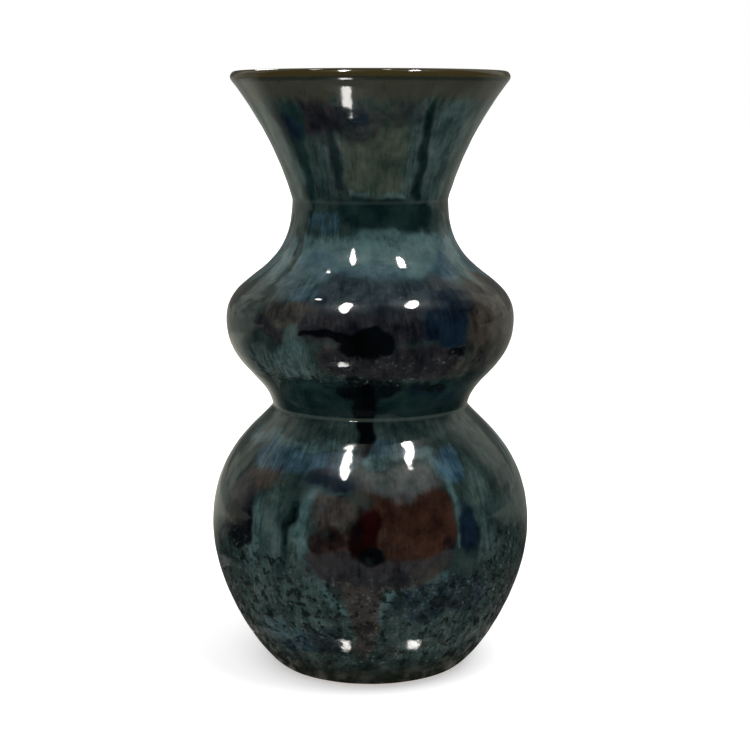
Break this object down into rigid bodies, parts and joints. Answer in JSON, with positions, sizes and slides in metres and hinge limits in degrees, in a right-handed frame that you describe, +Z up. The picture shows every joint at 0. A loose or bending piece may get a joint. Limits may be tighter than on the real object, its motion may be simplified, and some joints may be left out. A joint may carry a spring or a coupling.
{
  "type": "pottery vase",
  "caption": "Free-standing stoneware vase: a round globe at the base, a smaller bulge above it and a flared neck with a rolled lip, glazed inside and out.",
  "frame": {"origin": "centre of the foot, on the surface that the vase stands on", "axes": "+Z up along the axis that the vase was thrown about; the vase is round, so +X and +Y are free, and -Y is the side that is seen first"},
  "size_m": [0.1648, 0.1648, 0.305],
  "materials": {
    "stoneware": "matt unglazed fired clay, seen only at the foot",
    "outer_glaze": "high-gloss dark teal and black glaze with rust and blue breaks",
    "liner_glaze": "glossy dark olive-brown glaze"
  },
  "bodies": {
    "root": {"lower_globe": "stoneware", "middle_bulge": "stoneware", "flared_neck": "stoneware", "outer_glaze": "outer_glaze", "liner_glaze": "liner_glaze"}
  },
  "joints": []
}
